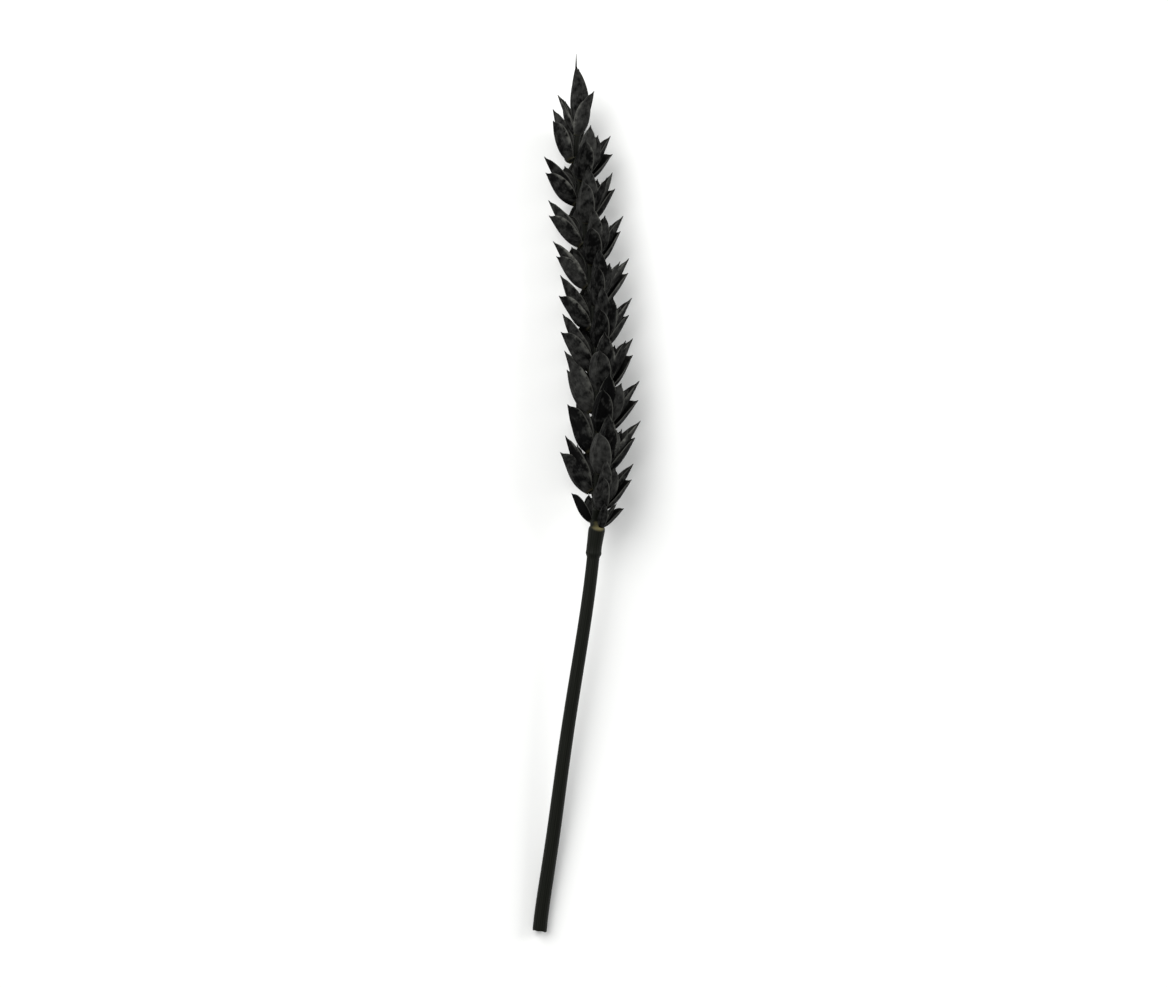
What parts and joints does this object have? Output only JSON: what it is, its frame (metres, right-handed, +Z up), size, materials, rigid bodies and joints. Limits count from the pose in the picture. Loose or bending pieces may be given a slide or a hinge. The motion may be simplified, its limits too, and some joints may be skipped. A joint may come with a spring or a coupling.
{
  "type": "wheat ear",
  "caption": "Dried, black-dyed wheat ear on its cut straw, lying down, with two rows of beaked spikelets on a zigzag rachis and a spiked spikelet at the tip.",
  "frame": {"origin": "under the middle of the whole part, on the surface that it lies on", "axes": "+Z up; +Y along the stalk from the cut end of the straw to the ear's tip; +X level, to the side of the row of spikelets that lies high, while the other row lies low on -X"},
  "size_m": [0.0202, 0.172, 0.0157],
  "materials": {
    "dyed_chaff": "dry papery husk dyed near-black, matte with pale thin margins",
    "dyed_straw": "dry straw dyed dark olive grey, satin, with fine lengthwise ribs"
  },
  "bodies": {
    "root": {"stalk": "dyed_straw", "spikelet_01": "dyed_chaff", "spikelet_02": "dyed_chaff", "spikelet_03": "dyed_chaff", "spikelet_04": "dyed_chaff", "spikelet_05": "dyed_chaff", "spikelet_06": "dyed_chaff", "spikelet_07": "dyed_chaff", "spikelet_08": "dyed_chaff", "spikelet_09": "dyed_chaff", "spikelet_10": "dyed_chaff", "spikelet_11": "dyed_chaff", "spikelet_12": "dyed_chaff", "spikelet_13": "dyed_chaff", "spikelet_14": "dyed_chaff", "spikelet_15": "dyed_chaff", "spikelet_16": "dyed_chaff", "spikelet_17": "dyed_chaff", "spikelet_18": "dyed_chaff", "spikelet_19": "dyed_chaff", "spikelet_20": "dyed_chaff", "spikelet_at_tip": "dyed_chaff"}
  },
  "joints": []
}
